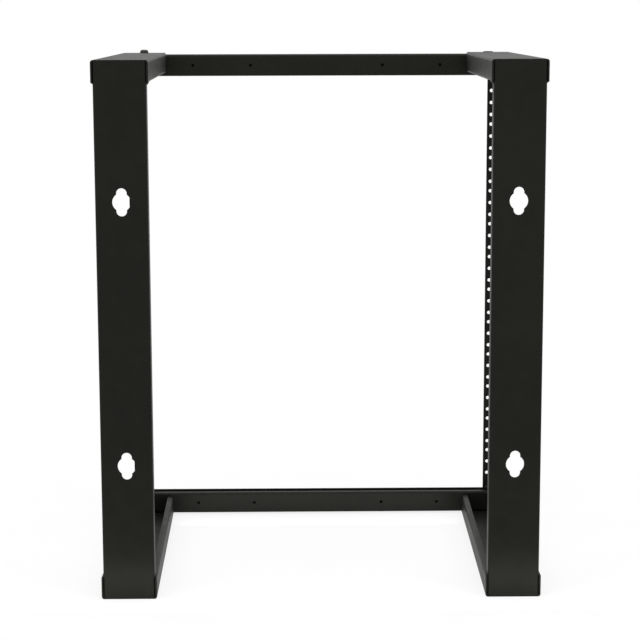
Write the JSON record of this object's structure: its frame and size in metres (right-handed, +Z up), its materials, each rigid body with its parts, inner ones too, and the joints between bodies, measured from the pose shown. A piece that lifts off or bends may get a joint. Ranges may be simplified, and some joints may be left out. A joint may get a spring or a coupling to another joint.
{
  "type": "wall mount open frame rack",
  "caption": "Black open steel rack frame: two wall posts with keyholes, lipped arms, cross bars and drilled equipment rails.",
  "frame": {"origin": "centre of the footprint, on the plane the bottom arms stand on", "axes": "+Z up, +Y towards the wall, -Y the front where equipment goes in, +X to the right as seen from the front"},
  "size_m": [0.512, 0.3938, 0.6265],
  "materials": {
    "black_coat": "satin powder coat on folded sheet steel",
    "black_screw": "black oxide screws, nuts and washers",
    "coated_weld": "weld beads under the powder coat"
  },
  "bodies": {
    "root": {"post_right": "black_coat", "post_left": "black_coat", "bottom_arm_right": "black_coat", "bottom_arm_left": "black_coat", "top_arm_right": "black_coat", "top_arm_left": "black_coat", "bottom_bar": "black_coat", "top_bar": "black_coat", "rail_right": "black_coat", "rail_left": "black_coat", "bottom_corner_screws": "black_screw", "bottom_corner_washers": "black_screw", "top_corner_screw_right": "black_screw", "top_corner_screw_left": "black_screw", "top_corner_washers": "black_screw", "top_corner_nuts": "black_screw", "post_welds_bottom_right": "coated_weld", "post_welds_bottom_left": "coated_weld", "post_welds_top_right": "coated_weld", "post_welds_top_left": "coated_weld", "rail_welds_bottom": "coated_weld", "rail_welds_top": "coated_weld"}
  },
  "joints": []
}
